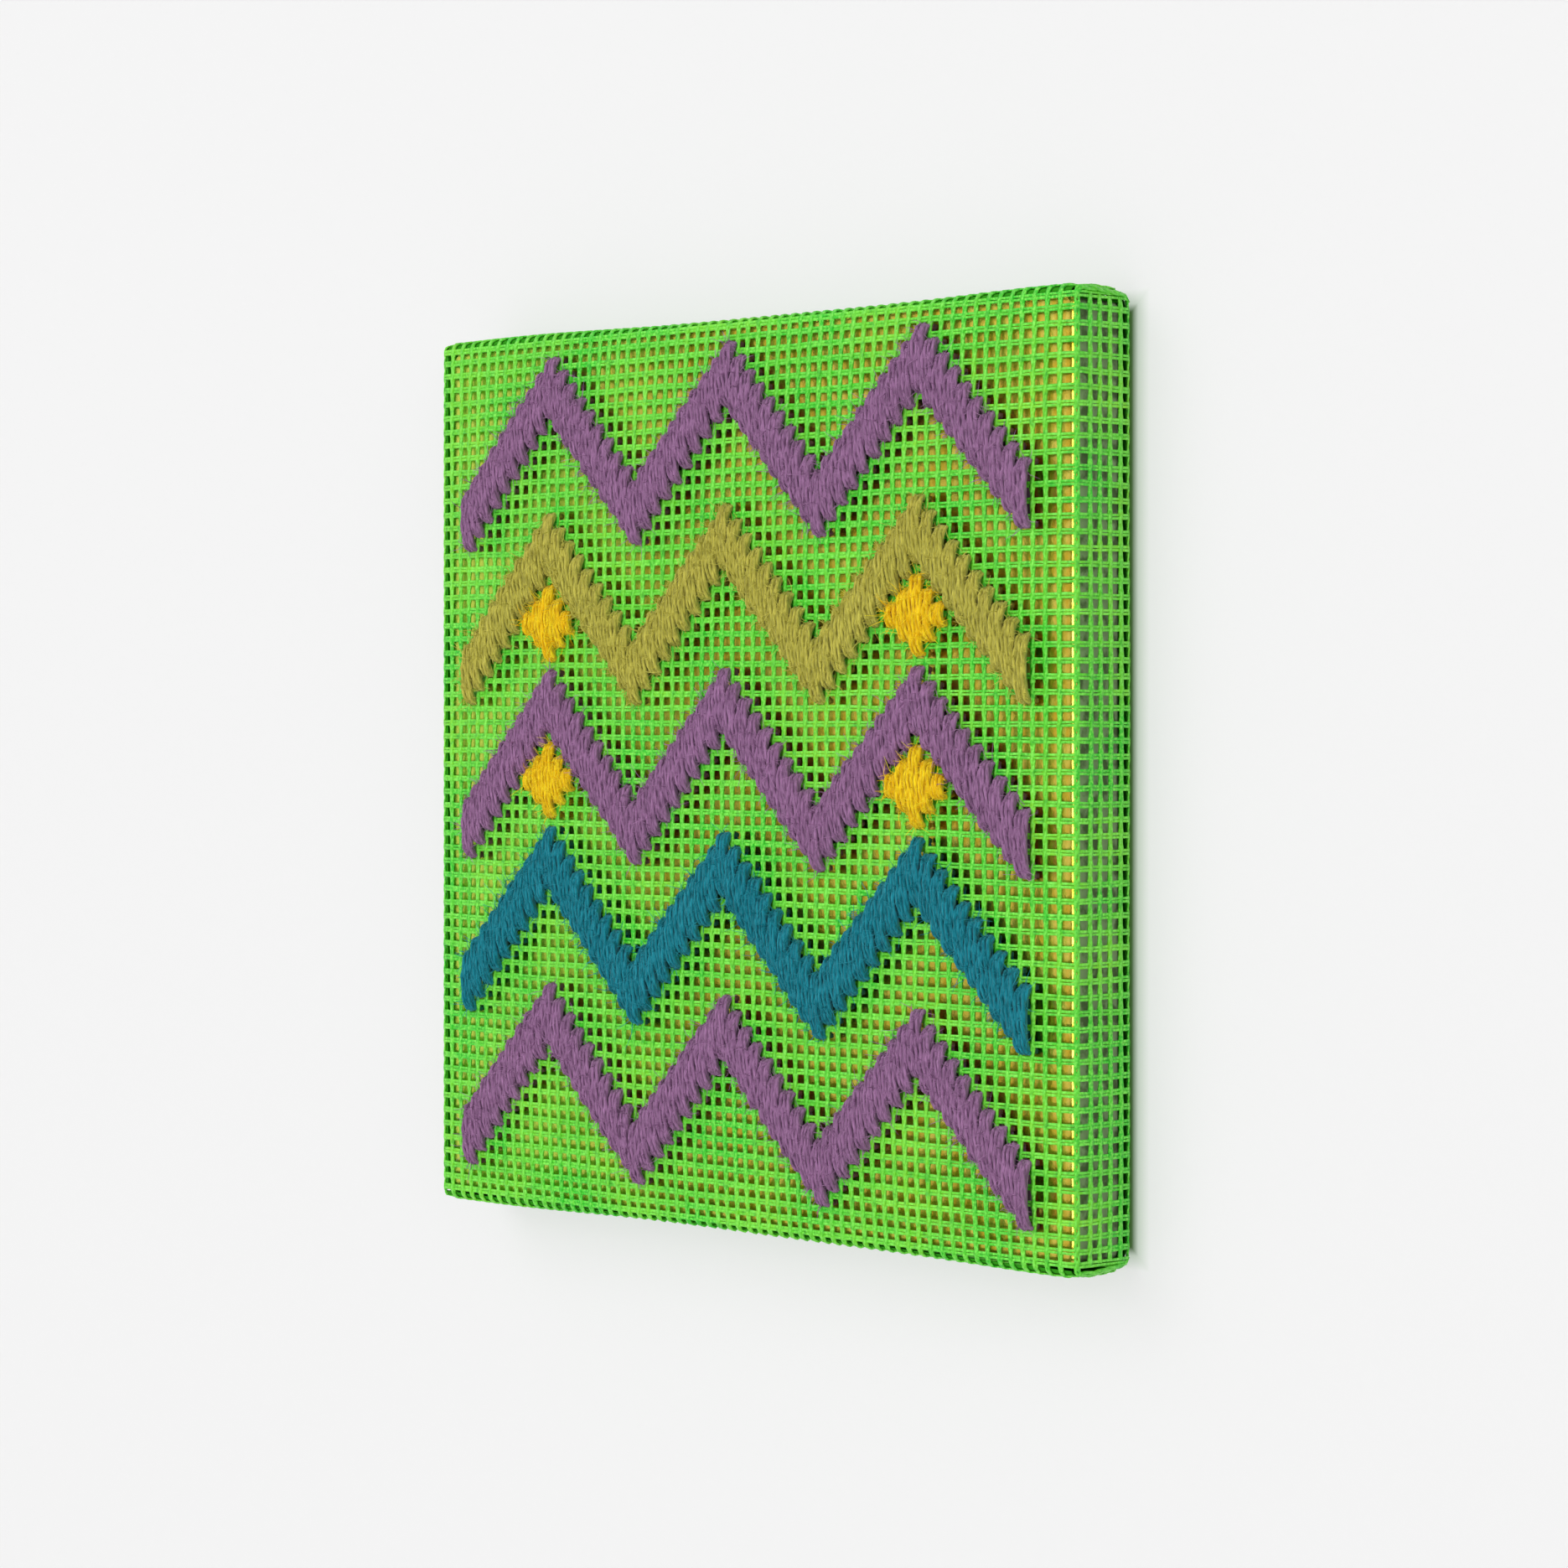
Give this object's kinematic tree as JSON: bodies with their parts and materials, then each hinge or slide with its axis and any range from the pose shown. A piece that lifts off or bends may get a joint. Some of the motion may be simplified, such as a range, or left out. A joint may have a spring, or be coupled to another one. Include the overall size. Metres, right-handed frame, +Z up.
{
  "type": "embroidered canvas panel",
  "caption": "Square needlepoint panel: open-mesh canvas wrapped round a thin board, with raised wool satin stitches, to hang flat on a wall.",
  "frame": {"origin": "middle of the board's back face, which faces the wall", "axes": "+Z up, +X to the right seen from the front, the stitched face looks along -Y"},
  "size_m": [0.156, 0.0174, 0.1568],
  "materials": {
    "gold": "glossy gold face",
    "painted_canvas": "open cotton mesh, painted green",
    "purple_wool": "soft plied wool",
    "teal_wool": "soft plied wool",
    "olive_wool": "soft plied wool",
    "yellow_wool": "soft plied wool"
  },
  "bodies": {
    "root": {"gold_board": "gold", "canvas": "painted_canvas", "chevron_1_purple": "purple_wool", "chevron_2_teal": "teal_wool", "chevron_3_purple": "purple_wool", "chevron_4_olive": "olive_wool", "chevron_5_purple": "purple_wool", "diamond_1_left": "yellow_wool", "diamond_1_right": "yellow_wool", "diamond_2_left": "yellow_wool", "diamond_2_right": "yellow_wool"}
  },
  "joints": []
}
